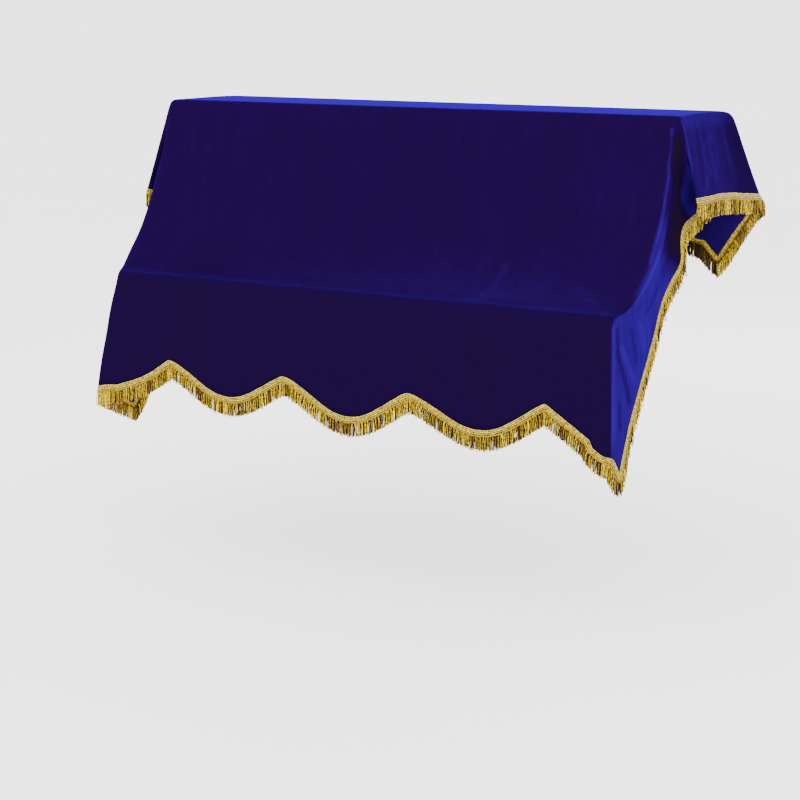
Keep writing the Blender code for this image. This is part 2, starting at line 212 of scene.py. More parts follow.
# Painted highlights and shade in the velvet's colour, partly brushed pile, from 0, dark, to 1,
# bright: a start value, soft marks between rows and columns of the control net, and strokes
# along lines on the sheet, in mm in the frame
NAP_AND_SHADING_START = 0.30
NapAndShadingMark = namedtuple("NapAndShadingMark", "name row_from row_to column_from column_to soft_rows "
                     "soft_columns strength")
NAP_AND_SHADING_MARKS = (
    NapAndShadingMark("front drop", 20.4, 26.0, 4.0, 12.0, 0.8, 0.3, -0.13),
    NapAndShadingMark("above the shelf", 18.6, 19.2, 7.1, 10.9, 0.7, 0.6, 0.06),
    NapAndShadingMark("right of the shelf", 17.6, 19.8, 8.9, 10.0, 0.9, 0.7, 0.05),
    NapAndShadingMark("right fold", 15.3, 17.4, 11.6, 12.4, 0.6, 0.2, 0.40),
    NapAndShadingMark("right corner", 16.5, 26.0, 12.03, 17.0, 0.6, 0.18, 0.54),
    NapAndShadingMark("tuck face", 11.0, 12.8, 14.7, 17.0, 0.4, 0.4, 0.55),
    NapAndShadingMark("right hem", 13.8, 16.4, 14.1, 17.0, 0.6, 0.4, -0.28),
    NapAndShadingMark("right flap", 6.6, 9.3, 12.2, 17.0, 0.5, 0.4, 0.15),
    NapAndShadingMark("right flap rear", 4.6, 6.3, 12.9, 17.0, 0.4, 0.5, -0.10),
    NapAndShadingMark("right flap top", 5.0, 9.0, 12.3, 12.8, 0.6, 0.4, 0.16),
    NapAndShadingMark("left ridge", 11.0, 15.0, 3.7, 4.1, 0.6, 0.2, 0.08),
    NapAndShadingMark("left corner", 15.0, 26.0, -1.0, 3.8, 1.5, 0.5, 0.30),
    NapAndShadingMark("left flap", 6.0, 8.0, -1.0, 3.8, 0.8, 0.5, 0.20),
    NapAndShadingMark("back light", -1.0, 3.5, 5.5, 6.6, 1.0, 0.6, 0.18),
    NapAndShadingMark("back light 2", -1.0, 3.5, 9.0, 9.8, 1.0, 0.6, 0.18),
)
NapAndShadingStroke = namedtuple("NapAndShadingStroke", "name width strength points")
# Mostly painted highlights on ridges and folds, and painted shade in the valley and creases
NAP_AND_SHADING_STROKES = (
    NapAndShadingStroke("tuck edge", 3.5, 0.40,
              ((760, -162, -9), (770, -158, -45), (781, -152, -103), (788, -145, -145),
               (794, -136, -186))),
    NapAndShadingStroke("right ridge", 4, 0.44,
              ((745, -181, -27), (748, -187, -70), (744, -192, -112), (747, -198, -141),
               (744, -207, -182), (743, -217, -223), (740, -227, -258), (736, -245, -300),
               (735, -268, -338))),
    NapAndShadingStroke("valley", 14, -0.36,
              ((758, -182, -55), (758, -178, -99), (757, -173, -146), (758, -172, -193),
               (761, -176, -240), (760, -185, -276))),
    NapAndShadingStroke("flap stroke 1", 7, 0.12,
              ((768, 8, -56), (773, -50, -73), (780, -55, -102), (787, -40, -136))),
    NapAndShadingStroke("flap stroke 2", 7, 0.12, ((787, -42, -136), (795, -75, -162), (801, -107, -185))),
    NapAndShadingStroke("flap stroke 3", 9, 0.05,
              ((767, 28, -52), (775, 40, -85), (781, 24, -113), (792, -11, -159))),
    NapAndShadingStroke("flap stroke 4", 9, 0.04, ((775, 90, -75), (780, 92, -100), (784, 80, -125))),
    NapAndShadingStroke("corner ridge", 7, 0.30,
              ((731, -464, -465), (730, -461, -514), (730, -456, -585), (731, -453, -657),
               (732, -452, -728))),
    NapAndShadingStroke("corner fan 1", 9, -0.34,
              ((731, -452, -470), (733, -440, -530), (735, -396, -608), (737, -375, -655))),
    NapAndShadingStroke("corner fan 2", 7, -0.34, ((733, -430, -645), (736, -423, -709))),
    NapAndShadingStroke("corner fan 3", 8, -0.22,
              ((737, -380, -480), (738, -352, -530), (738, -345, -560))),
    NapAndShadingStroke("corner light 1", 8, 0.25,
              ((734, -425, -515), (736, -385, -565), (737, -353, -603))),
    NapAndShadingStroke("corner light 2", 9, 0.20,
              ((738, -340, -470), (739, -315, -500), (739, -305, -530))),
    NapAndShadingStroke("slope line", 6, -0.20,
              ((741, -300, -450), (745, -280, -425), (749, -255, -390))),
    NapAndShadingStroke("tick 1", 7, 0.13,
              ((339, -424, -441), (341, -368, -425), (364, -341, -408), (367, -294, -366))),
    NapAndShadingStroke("tick 2", 14, 0.10, ((308, -414, -439), (352, -385, -430), (400, -372, -424))),
    NapAndShadingStroke("shelf end", 9, 0.10, ((700, -430, -440), (627, -366, -424), (573, -335, -403))),
)
# The sheen of the pile, and of a dimmer copy that paints shade over the sheen highlight along
# the shelf's edge, in rows and columns
PILE_SHEEN = 1.0
DIMMED_SHEEN = 0.5
DIMMED_ROWS = (19.0, 19.85)
DIMMED_COLUMNS = (4.0, 12.0)


def unit(vectors):
    """Vectors scaled to length one."""
    return vectors / np.maximum(np.linalg.norm(vectors, axis=-1, keepdims=True), TINY)


def distance_to(points, start, end):
    """How far each point lies from a straight line, and its share of the way along it."""
    run = end - start
    t = np.clip(((points - start) @ run) / (run @ run), 0, 1)
    return np.linalg.norm(points - (start + t[..., None] * run), axis=-1), t


def side_points(section, side, sign):
    """Control points from the ridge of one side to its hem."""
    ridge = np.array([sign * side.ridge_x, section.ridge_y, section.ridge_z], float)
    edge = np.array([sign * side.edge_x, side.edge_y, side.edge_z], float)
    points = [ridge]
    for share in SIDE_STATIONS:
        along = np.array([share ** (1 / side.late), share ** side.late, share])
        points.append(ridge + (edge - ridge) * along)
    return points


def control_net():
    """Grid of control points: sections from back to front, each from left hem to right hem."""
    net = []
    for section, left, right in zip(SECTIONS, LEFT_SIDE, RIGHT_SIDE):
        left_points = side_points(section, left, -1)
        right_points = side_points(section, right, 1)
        ridge_left, ridge_right = left_points[0], right_points[0]
        panel = [ridge_left + (ridge_right - ridge_left) * share for share in PANEL_STATIONS]
        net.append(left_points[::-1] + panel + right_points)
    net = np.array(net) * MM
    net[..., 1] -= TOP_DEPTH / 2
    return net


def spline_basis(values, count):
    """Indices and weights of a cubic B-spline that ends on its first and last points."""
    span = np.clip(np.floor(values).astype(int), 0, count - 2)
    f = values - span
    weights = np.stack([(1 - f) ** 3, 3 * f ** 3 - 6 * f ** 2 + 4,
                        -3 * f ** 3 + 3 * f ** 2 + 3 * f + 1, f ** 3], -1) / 6
    return span, weights


def padded(net, axis):
    """The net with one more row beyond each end, so that the surface reaches its edge."""
    net = np.moveaxis(net, axis, 0)
    first = 2 * net[0] - net[1]
    last = 2 * net[-1] - net[-2]
    return np.moveaxis(np.concatenate([first[None], net, last[None]]), 0, axis)


def surface(net, rows, columns):
    """Points of the sheet at arrays of row and column values, in units of control spans."""
    row_span, row_weight = spline_basis(rows, net.shape[0])
    column_span, column_weight = spline_basis(columns, net.shape[1])
    full = padded(padded(net, 0), 1)
    points = np.zeros(rows.shape + (3,))
    for i in range(4):
        for j in range(4):
            weight = row_weight[..., i] * column_weight[..., j]
            points += weight[..., None] * full[row_span + i, column_span + j]
    return points


def stepped(steps):
    """Parameter values that cut each control span into its own number of steps."""
    values = [0.0]
    for span, count in enumerate(steps):
        values += [span + (k + 1) / count for k in range(count)]
    return np.array(values)


def scallop_rise(x, scallops):
    """Height of the scalloped hem above the panel's lowest line at x."""
    for lobe in scallops:
        if lobe.x_from * MM <= x <= lobe.x_to * MM:
            t = (x - lobe.x_from * MM) / ((lobe.x_to - lobe.x_from) * MM)
            line = lobe.rise_from + (lobe.rise_to - lobe.rise_from) * t
            sag = max(math.sin(math.pi * t ** LOBE_LEAN), 0.0) ** LOBE_POINT
            return (line - lobe.belly * sag) * MM
    return 0.0


NET = control_net()
LAST_ROW = NET.shape[0] - 1
LAST_COLUMN = NET.shape[1] - 1


def sheet_points(rows, columns):
    """Middle surface of the sheet; rows are cut short where the hem is scalloped."""
    front_span = -(SECTIONS[-1].ridge_z - SECTIONS[-2].ridge_z) * MM
    back_span = (SECTIONS[1].ridge_z - SECTIONS[0].ridge_z) * MM
    flat = columns.ravel()
    hem_x = surface(NET, np.full_like(flat, float(LAST_ROW)), flat)[:, 0]
    front_cut = np.array([scallop_rise(x, FRONT_SCALLOPS) for x in hem_x]).reshape(columns.shape)
    back_cut = np.array([scallop_rise(x, BACK_SCALLOPS) for x in hem_x]).reshape(columns.shape)
    near_front = np.clip((rows - (LAST_ROW - SCALLOP_SPANS)) / SCALLOP_SPANS, 0, 1)
    near_back = np.clip((SCALLOP_SPANS - rows) / SCALLOP_SPANS, 0, 1)
    shifted = rows - front_cut / front_span * near_front + back_cut / back_span * near_back
    points = surface(NET, shifted, columns)
    points[..., 2] += CLOTH_LIFT
    return points


def sheet_normals(rows, columns):
    """Outward normals of the middle surface."""
    step = 0.02
    up, down = np.clip(rows + step, 0, LAST_ROW), np.clip(rows - step, 0, LAST_ROW)
    right, left = np.clip(columns + step, 0, LAST_COLUMN), np.clip(columns - step, 0, LAST_COLUMN)
    along_rows = sheet_points(up, columns) - sheet_points(down, columns)
    along_columns = sheet_points(rows, right) - sheet_points(rows, left)
    return unit(np.cross(along_rows, along_columns))


def crease_height(points):
    """How far the creases lift each point of the sheet along its normal."""
    lift = np.zeros(points.shape[:-1])
    fade_start, fade_span = CREASE_FADE
    for crease in CREASES:
        distance, t = distance_to(points, np.array(crease.start) * MM, np.array(crease.end) * MM)
        fade = np.sin(np.pi * (fade_start + fade_span * t))
        lift += crease.height * MM * fade * np.exp(-(distance / (crease.width * MM)) ** 2)
    return lift


def creased_points(rows, columns):
    """Points and normals of the sheet with its creases."""
    points = sheet_points(rows, columns)
    normals = sheet_normals(rows, columns)
    return points + normals * crease_height(points)[..., None], normals


def nap_and_shading_values(rows, columns, points):
    """How bright the painted highlights and shade, partly brushed pile, make each point."""
    nap_and_shading = np.full(rows.shape, NAP_AND_SHADING_START)
    for mark in NAP_AND_SHADING_MARKS:
        inside = np.ones(rows.shape)
        for value, start, end, soft in ((rows, mark.row_from, mark.row_to, mark.soft_rows),
                                        (columns, mark.column_from, mark.column_to,
                                         mark.soft_columns)):
            outside = np.maximum(np.maximum(start - value, value - end), 0)
            inside = inside * np.exp(-(outside / soft) ** 2)
        nap_and_shading += mark.strength * inside
    for stroke in NAP_AND_SHADING_STROKES:
        line = np.array(stroke.points, float) * MM
        nearest = np.full(rows.shape, np.inf)
        for start, end in zip(line[:-1], line[1:]):
            nearest = np.minimum(nearest, distance_to(points, start, end)[0])
        nap_and_shading += stroke.strength * np.exp(-(nearest / (stroke.width * MM)) ** 2)
    return np.clip(nap_and_shading, 0, 1)


def column_values():
    """Column values of the sheet's grid, with a column on every cusp of the scallops."""
    side_spans = len(SIDE_STATIONS)
    side_steps = [count * SIDE_FINER for count in SIDE_STEPS[::-1] + (RIDGE_STEPS,)]
    left = stepped(side_steps)
    right = LAST_COLUMN - left[::-1]
    fine = np.linspace(side_spans, LAST_COLUMN - side_spans, HEM_SAMPLES)
    fine_x = surface(NET, np.full_like(fine, float(LAST_ROW)), fine)[:, 0]
    panel_x = []
    for lobe in FRONT_SCALLOPS:
        count = lobe.steps * FINER
        panel_x += [lobe.x_from + (lobe.x_to - lobe.x_from) * k / count for k in range(count)]
    panel_x.append(FRONT_SCALLOPS[-1].x_to)
    middle = np.interp(np.array(panel_x) * MM, fine_x, fine)
    middle = middle[(middle > left[-1] + COLUMN_GAP) & (middle < right[0] - COLUMN_GAP)]
    return np.concatenate([left, middle, right])


def row_values():
    """Row values of the sheet's grid."""
    return stepped([section.steps * FINER for section in SECTIONS[:-1]])


# ---------------------------------------------------------------------------
# Materials
# ---------------------------------------------------------------------------
# Colours of the velvet along that value: dark for painted shade, bright blue for painted sheen
VELVET_RAMP = (
    (0.00, (0.0052, 0.0024, 0.0082)),
    (0.15, (0.0045, 0.0009, 0.0150)),
    (0.30, (0.0052, 0.0001, 0.0210)),
    (0.50, (0.0069, 0.0002, 0.0385)),
    (0.80, (0.0102, 0.0001, 0.0840)),
    (1.00, (0.0134, 0.0001, 0.1250)),
)
VELVET_SHEEN = {"Roughness": 0.95, "Specular IOR Level": 0.0, "Sheen Roughness": 0.22,
                "Sheen Tint": (0.024, 0.0, 0.38, 1.0)}
REVERSE_SHEEN = {"Roughness": 0.8, "Specular IOR Level": 0.0, "Sheen Weight": 0.4,
                 "Sheen Roughness": 0.5, "Sheen Tint": (0.016, 0.0, 0.30, 1.0)}
# Across the heading, from its upper edge: three pale cords with painted shade in the grooves
# between them, then a mottled gold band
BRAID_RAMP = (
    (0.00, (0.10, 0.065, 0.010)), (0.075, (0.66, 0.52, 0.085)), (0.20, (0.022, 0.013, 0.004)),
    (0.32, (0.60, 0.46, 0.060)), (0.44, (0.020, 0.012, 0.003)), (0.565, (0.56, 0.42, 0.042)),
    (0.685, (0.045, 0.026, 0.004)), (0.80, (0.25, 0.170, 0.007)), (0.90, (0.27, 0.185, 0.007)),
    (0.97, (0.12, 0.075, 0.006)),
)
BRAID_GLOSS = {"Roughness": 0.5, "Specular IOR Level": 0.12,
               "Specular Tint": (1.0, 0.75, 0.22, 1.0)}
# How the threads slant across the heading and round a cord, in degrees
BRAID_SLANT = 24
STRAND_SLANT = 35
# Tones of the cords of the fringe, from brown in shade to bright gold
STRAND_RAMP = (
    (0.00, (0.009, 0.0052, 0.0054)), (0.25, (0.026, 0.015, 0.012)), (0.52, (0.147, 0.084, 0.019)),
    (0.80, (0.43, 0.300, 0.004)), (1.00, (0.74, 0.57, 0.016)),
)
STRAND_GLOSS = {"Roughness": 0.42, "Specular IOR Level": 0.15,
                "Specular Tint": (1.0, 0.72, 0.18, 1.0)}


class Nodes:
    """Short names for building a material's node tree."""

    def __init__(self, name):
        self.material = bpy.data.materials.new(name)
        self.material.use_nodes = True
        self.tree = self.material.node_tree
        self.shader = self.tree.nodes["Principled BSDF"]

    def add(self, kind, **settings):
        node = self.tree.nodes.new(kind)
        for key, value in settings.items():
            setattr(node, key, value)
        return node

    def link(self, source, target):
        self.tree.links.new(source, target)

    def ramp(self, source, stops):
        node = self.add("ShaderNodeValToRGB")
        elements = node.color_ramp.elements
        while len(elements) < len(stops):
            elements.new(0.5)
        for element, (place, color) in zip(elements, stops):
            element.position = place
            element.color = (*color, 1.0)
        self.link(source, node.inputs["Fac"])
        return node.outputs["Color"]

    def noise(self, coords, scale, detail=2.0, roughness=0.5):
        node = self.add("ShaderNodeTexNoise")
        node.inputs["Scale"].default_value = scale
        node.inputs["Detail"].default_value = detail
        node.inputs["Roughness"].default_value = roughness
        self.link(coords, node.inputs["Vector"])
        return node.outputs["Fac"]

    def mapping(self, coords, scale):
        node = self.add("ShaderNodeMapping")
        node.inputs["Scale"].default_value = scale
        self.link(coords, node.inputs["Vector"])
        return node.outputs["Vector"]

    def tinted(self, first, second):
        node = self.add("ShaderNodeMix", data_type="RGBA", blend_type="MULTIPLY")
        node.inputs[0].default_value = 1.0
        self.link(first, node.inputs[6])
        self.link(second, node.inputs[7])
        return node.outputs[2]

    def math(self, operation, first, second):
        node = self.add("ShaderNodeMath", operation=operation)
        for socket, value in zip(node.inputs, (first, second)):
            if isinstance(value, float):
                socket.default_value = value
            else:
                self.link(value, socket)
        return node.outputs[0]

    def slanted(self, coords, degrees):
        node = self.add("ShaderNodeMapping")
        node.inputs["Rotation"].default_value = (0.0, 0.0, math.radians(degrees))
        self.link(coords, node.inputs["Vector"])
        return node.outputs["Vector"]

    def wave(self, coords, scale, distortion):
        node = self.add("ShaderNodeTexWave", wave_type="BANDS", bands_direction="X")
        node.inputs["Scale"].default_value = scale
        node.inputs["Distortion"].default_value = distortion
        self.link(coords, node.inputs["Vector"])
        return node.outputs["Fac"]

    def bump(self, height, strength, distance, normal=None):
        node = self.add("ShaderNodeBump")
        node.inputs["Strength"].default_value = strength
        node.inputs["Distance"].default_value = distance
        self.link(height, node.inputs["Height"])
        if normal is not None:
            self.link(normal, node.inputs["Normal"])
        return node.outputs["Normal"]

    def finished(self, color, constants, normal=None):
        """The material, with its colour and normal linked and its constants set."""
        self.link(color, self.shader.inputs["Base Color"])
        if normal is not None:
            self.link(normal, self.shader.inputs["Normal"])
        for socket, value in constants.items():
            self.shader.inputs[socket].default_value = value
        return self.material


def velvet_material(name, sheen):
    """Deep royal blue pile: dark face on, bright at a slant, with painted light and shade in
    places.
    """
    n = Nodes(name)
    coords = n.add("ShaderNodeTexCoord").outputs["Object"]
    # The attribute read here paints highlights and shade into the colour, partly for brushed pile.
    nap_and_shading = n.add("ShaderNodeAttribute", attribute_name="nap_and_shading").outputs["Fac"]
    broad = n.noise(n.mapping(coords, (1.0, 1.0, 0.40)), 7.0, 3.0, 0.55)
    streaks = n.noise(n.mapping(coords, (1.0, 1.0, 0.16)), 55.0, 3.0, 0.6)
    marks = n.math("ADD", n.math("MULTIPLY", broad, 0.45), n.math("MULTIPLY", streaks, 0.45))
    marked = n.math("MULTIPLY", nap_and_shading, n.math("ADD", marks, 0.55))
    face = n.ramp(marked, VELVET_RAMP)
    pile = n.noise(coords, 900.0, 2.0, 0.6)
    grain = n.ramp(pile, ((0.25, (0.76, 0.76, 0.76)), (0.75, (1.22, 1.22, 1.22))))
    lay = n.noise(n.mapping(coords, (1.0, 1.0, 0.3)), 28.0, 3.0, 0.6)
    normal = n.bump(pile, 0.3, 0.0008, n.bump(lay, 0.3, 0.004))
    return n.finished(n.tinted(face, grain), {**VELVET_SHEEN, "Sheen Weight": sheen}, normal)


def reverse_material():
    """The knitted back of the velvet: the same blue without a pile."""
    n = Nodes("velvet_reverse")
    coords = n.add("ShaderNodeTexCoord").outputs["Object"]
    knit = n.noise(coords, 1200.0, 1.0, 0.5)
    color = n.ramp(knit, ((0.3, (0.006, 0.0002, 0.036)), (0.7, (0.0085, 0.0003, 0.056))))
    return n.finished(color, REVERSE_SHEEN, n.bump(knit, 0.3, 0.0005))


def braid_material():
    """Woven gold heading: three pale twisted cords above a ribbed band, painted shade between
    them.
    """
    n = Nodes("gold_braid")
    uv = n.add("ShaderNodeUVMap", uv_map="along").outputs["UV"]
    parts = n.add("ShaderNodeSeparateXYZ")
    n.link(uv, parts.inputs["Vector"])
    band = n.ramp(parts.outputs["Y"], BRAID_RAMP)
    even = n.mapping(uv, (1.0, BRAID_SPAN, 1.0))
    threads = n.wave(n.slanted(even, BRAID_SLANT), 150.0, 0.8)
    mottle = n.noise(n.mapping(even, (1.0, 0.7, 1.0)), 190.0, 3.0, 0.65)
    shade = n.ramp(threads, ((0.0, (0.60, 0.54, 0.44)), (0.6, (1.0, 1.0, 1.0))))
    patches = n.ramp(mottle, ((0.36, (0.30, 0.25, 0.20)), (0.50, (0.95, 0.95, 0.95)),
                              (0.64, (1.70, 1.75, 1.70))))
    color = n.tinted(n.tinted(band, shade), patches)
    return n.finished(color, BRAID_GLOSS, n.bump(threads, 0.5, 0.0006))


def strand_material():
    """Twisted rayon cord: gold with painted shade between threads and glints, each loop its own
    tone.
    """
    n = Nodes("gold_strand")
    uv = n.add("ShaderNodeUVMap", uv_map="along").outputs["UV"]
    tone = n.add("ShaderNodeAttribute", attribute_name="tone").outputs["Fac"]
    threads = n.wave(n.slanted(uv, STRAND_SLANT), 420.0, 0.3)
    base = n.ramp(tone, STRAND_RAMP)
    shade = n.ramp(threads, ((0.0, (0.54, 0.40, 0.36)), (0.55, (1.0, 1.0, 1.0))))
    coords = n.add("ShaderNodeTexCoord").outputs["Object"]
    # Painted glints and shade along each cord's twist, from a noise
    turns = n.ramp(n.noise(coords, 170.0, 2.0, 0.6), ((0.36, (0.33, 0.25, 0.32)),
                                                      (0.50, (0.95, 0.95, 0.95)),
                                                      (0.64, (1.50, 1.50, 1.20))))
    color = n.tinted(n.tinted(base, shade), turns)
    return n.finished(color, STRAND_GLOSS, n.bump(threads, 0.4, 0.0004))


# ---------------------------------------------------------------------------
# Geometry
# ---------------------------------------------------------------------------
def add_mesh(name, points, faces, materials):
    """Object of a mesh from points and faces."""
    mesh = bpy.data.meshes.new(name)
    mesh.from_pydata(points, [], faces)
    mesh.shade_smooth()
    for material in materials:
        mesh.materials.append(material)
    piece = bpy.data.objects.new(name, mesh)
    bpy.context.scene.collection.objects.link(piece)
    return piece


def set_numbers(piece, name, values):
    """A number for each point of a piece, for its material to read."""
    numbers = piece.data.attributes.new(name, "FLOAT", "POINT")
    numbers.data.foreach_set("value", values)


def set_uv(piece, name, uv):
    """The place of each point of a piece along and across its threads."""
    layer = piece.data.uv_layers.new(name=name)
    corners = np.zeros(len(piece.data.loops), int)
    piece.data.loops.foreach_get("vertex_index", corners)
    layer.data.foreach_set("uv", uv[corners].ravel())


def grid_faces(rows, columns, closed=False):
    """Quads of a grid of points; a closed grid joins its last column to its first."""
    index = np.arange(rows * columns).reshape(rows, columns)
    if closed:
        index = np.concatenate([index, index[:, :1]], 1)
    a, b = index[:-1, :-1], index[:-1, 1:]
    c, d = index[1:, 1:], index[1:, :-1]
    return np.stack([a, b, c, d], -1).reshape(-1, 4)


def make_sheet():
    """The velvet sheet: pile, a dimmed copy as painted shade at the shelf, knitted reverse behind
    each.
    """
    rows, columns = row_values(), column_values()
    row_grid, column_grid = np.meshgrid(rows, columns, indexing="ij")
    points, _ = creased_points(row_grid, column_grid)
    faces = grid_faces(len(rows), len(columns))[:, ::-1]
    pile = velvet_material("velvet_pile", PILE_SHEEN)
    dimmed_sheen_pile = velvet_material("velvet_dimmed_sheen", DIMMED_SHEEN)
    reverse = reverse_material()
    piece = add_mesh("velvet_sheet", points.reshape(-1, 3).tolist(), faces.tolist(),
                     [pile, dimmed_sheen_pile, reverse, reverse])
    # Faces along the shelf's edge take the dimmer copy: painted shade over the sheen highlight
    # there.
    face_rows = ((row_grid[1:, 1:] + row_grid[:-1, 1:]) / 2).ravel()
    face_columns = ((column_grid[1:, 1:] + column_grid[1:, :-1]) / 2).ravel()
    dimmed_sheen = ((face_rows > DIMMED_ROWS[0]) & (face_rows < DIMMED_ROWS[1])
            & (face_columns > DIMMED_COLUMNS[0]) & (face_columns < DIMMED_COLUMNS[1]))
    piece.data.polygons.foreach_set("material_index", dimmed_sheen.astype(np.int32))
    set_numbers(piece, "nap_and_shading", nap_and_shading_values(row_grid, column_grid, points).ravel())
    shell = piece.modifiers.new("thickness", "SOLIDIFY")
    shell.thickness = CLOTH_THICKNESS
    shell.offset = 0.0
    shell.material_offset = 2
    shell.material_offset_rim = 0
    return piece


# ---------------------------------------------------------------------------
# The fringe
# ---------------------------------------------------------------------------
HEMS = ("back", "front", "left", "right")
LINE_SAMPLES = 1500
HEADING_WIDTH = 0.015
RING_SPACING = 0.003
# How far along a hem its normals and its way out are averaged, in metres
NORMAL_EASING = 0.004
OUT_EASING = 0.014
LONGEST_MITRE = 1.35
# Cross section of the heading: distance out from the cloth's edge and height over the middle of
# the cloth, in mm.  It laps over the velvet, carries three fine cords and then a flat band.
HEADING_PROFILE = (
    (-1.9, 1.2), (-1.9, 1.9), (-1.4, 2.7), (-0.6, 3.0), (0.3, 2.6), (0.8, 1.4), (2.4, 1.4),
    (2.9, 2.5), (3.8, 2.9), (4.7, 2.5), (5.2, 1.4), (6.8, 1.4), (7.3, 2.4), (8.2, 2.8), (9.1, 2.4),
    (9.6, 1.4), (11.0, 1.5), (12.5, 1.9), (14.2, 2.1), (15.3, 1.9), (15.6, 1.2), (15.6, 0.1),
    (14.8, -0.5), (8.0, -0.7), (1.0, -0.7), (0.4, -0.4), (0.4, 1.1),
)
# How far the heading's colours run across it, in metres
BRAID_SPAN = 0.0178
# The loops of the fringe: bright cords on the outer face, darker ones on the inner face and a fill
# of dark ones between them, their tones painted shade among the loops.
# pitch and spread set how they follow each other, depth how far they lie off the heading's face.
STRAND_LENGTH = 0.035
LOOP_HALF_WIDTH = 0.0023
CORD_RADIUS = 0.00090
FILL_RADIUS = 0.0016
# How far the cords lie under the heading, and from its two ends
STRAND_LAP = 0.001
END_GAP = 0.0008
# How far a cord's colours run round it from one side to the next, in metres
CORD_ROUND = 0.0013
# Shares of the loops that hang open, and that hang open or with half a turn; the rest are twisted
OPEN_LOOPS = 0.70
UNTWISTED_LOOPS = 0.90
StrandRow = namedtuple("StrandRow", "name looped pitch spread depth points sides tone tone_spread")
STRAND_ROWS = (
    StrandRow("outer loops", True, 0.0090, 0.20, 0.0008, 10, 5, 0.80, 0.15),
    StrandRow("fill", False, 0.0026, 0.25, -0.0026, 6, 4, 0.02, 0.06),
    StrandRow("inner loops", True, 0.0112, 0.25, -0.0046, 7, 4, 0.42, 0.16),
)
# Lighter cord from the start of a hem, painted light where its fringe hangs in shade: how far it
# runs, in metres, and how much lighter it is
LighterCord = namedtuple("LighterCord", "reach tone")
NO_LIGHTER_CORD = LighterCord(0.0, 0.0)
LIGHTER_FRINGE = {
    "left": LighterCord(9.0, 0.38),
    "front": LighterCord(0.16, 0.55),
    "right": LighterCord(0.185, 0.50),
}
FIRST_SEED = 11
# Mean and spread of a strand's lean and sway along the hem, and of its lean and curl outward
STRAND_BENDS = ((0, 0.035), (0, 0.05), (0.03, 0.04), (0, 0.03))
# How a strand turns from the hem's way out to straight down: start, rate along it, and end
STRAND_DROOP = (0.25, 2.4, 0.94)
LENGTH_RANGE = (0.93, 1.04)
RADIUS_RANGE = (0.88, 1.12)
DEPTH_SPREAD = 0.0003
# Amplitude, radians per metre and share of the phase of the slow change of tone along a hem
TONE_WAVES = ((0.10, 41, 1), (0.07, 97, 2))
# Amplitude, radians per metre and phase of the heading's uneven width
HEADING_WAVES = ((0.00035, 61, 0.0), (0.00025, 157, 1.0))
DOWN = np.array([0.0, 0.0, -1.0])


def hem_samples(side):
    """Row and column values along one hem."""
    start, t, end = np.zeros(LINE_SAMPLES), np.linspace(0, 1, LINE_SAMPLES), np.ones(LINE_SAMPLES)
    rows, columns = {"back": (start, t), "front": (end, t),
                     "left": (t, start), "right": (t, end)}[side]
    return rows * LAST_ROW, columns * LAST_COLUMN


def resampled(values, stations, targets):
    """Rows of values interpolated at target stations."""
    columns = [np.interp(targets, stations, values[:, k]) for k in range(values.shape[1])]
    return np.stack(columns, 1)


def smoothed(vectors, spacing, reach):
    """Unit vectors averaged over a reach along their line, but held at its ends."""
    count = max(1, int(round(3 * reach / spacing)))
    offsets = np.arange(-count, count + 1)
    weights = np.exp(-0.5 * (offsets * spacing / reach) ** 2)
    weights /= weights.sum()
    first = np.repeat(vectors[:1], count, 0)
    last = np.repeat(vectors[-1:], count, 0)
    full = np.concatenate([first, vectors, last])
    result = sum(w * full[k:k + len(vectors)] for k, w in enumerate(weights))
    return unit(result)


def hem_line(side):
    """Evenly spaced points of a hem, with its direction, its way out and its normal."""
    rows, columns = hem_samples(side)
    points, normals = creased_points(rows, columns)
    stations = np.concatenate([[0], np.cumsum(np.linalg.norm(np.diff(points, axis=0), axis=1))])
    count = int(stations[-1] / RING_SPACING) + 1
    targets = np.linspace(0, stations[-1], count)
    points = resampled(points, stations, targets)
    normals = smoothed(unit(resampled(normals, stations, targets)), RING_SPACING, NORMAL_EASING)
    along = unit(np.gradient(points, axis=0))
    sign = {"back": -1, "front": 1, "left": 1, "right": -1}[side]
    outs = unit(np.cross(along, normals)) * sign
    return {"points": points, "along": along, "outs": outs, "normals": normals,
            "stations": targets}


def heading_frames(line, start_out, end_out):
    """Eased way out at each ring, stretched so that the heading keeps its width."""
    outs = line["outs"]
    eased = smoothed(outs, RING_SPACING, OUT_EASING)
    length = line["stations"][-1]
    for turned, distance in ((start_out, line["stations"]), (end_out, length - line["stations"])):
        corner = unit(outs[0 if distance[0] == 0 else -1] + turned)
        blend = np.clip(1 - distance / HEADING_WIDTH, 0, 1)[:, None]
        eased = unit(eased * (1 - blend) + corner * blend)
    facing = np.sum(eased * outs, 1)
    stretch = np.minimum(1 / np.maximum(facing, 0.1), LONGEST_MITRE)
    return eased, stretch


def make_heading(name, line, eased, stretch, material):
    """The woven band along one hem."""
    profile = np.array(HEADING_PROFILE) * MM
    s = line["stations"]
    wobble = sum(size * np.sin(s * rate + phase) for size, rate, phase in HEADING_WAVES)
    out = ((profile[:, 0][None, :, None] * stretch[:, None, None] + wobble[:, None, None])
           * eased[:, None, :])
    up = profile[:, 1][None, :, None] * line["normals"][:, None, :]
    points = line["points"][:, None, :] + out + up
    rings, sides = points.shape[:2]
    faces = grid_faces(rings, sides, closed=True).tolist()
    faces.append(list(range(sides))[::-1])
    faces.append(list(range((rings - 1) * sides, rings * sides)))
    piece = add_mesh(name, points.reshape(-1, 3).tolist(), faces, [material])
    across = (profile[:, 0] - profile[:, 0].min()) / BRAID_SPAN
    set_uv(piece, "along", np.stack([np.repeat(s, sides), np.tile(across, rings)], 1))
    return piece


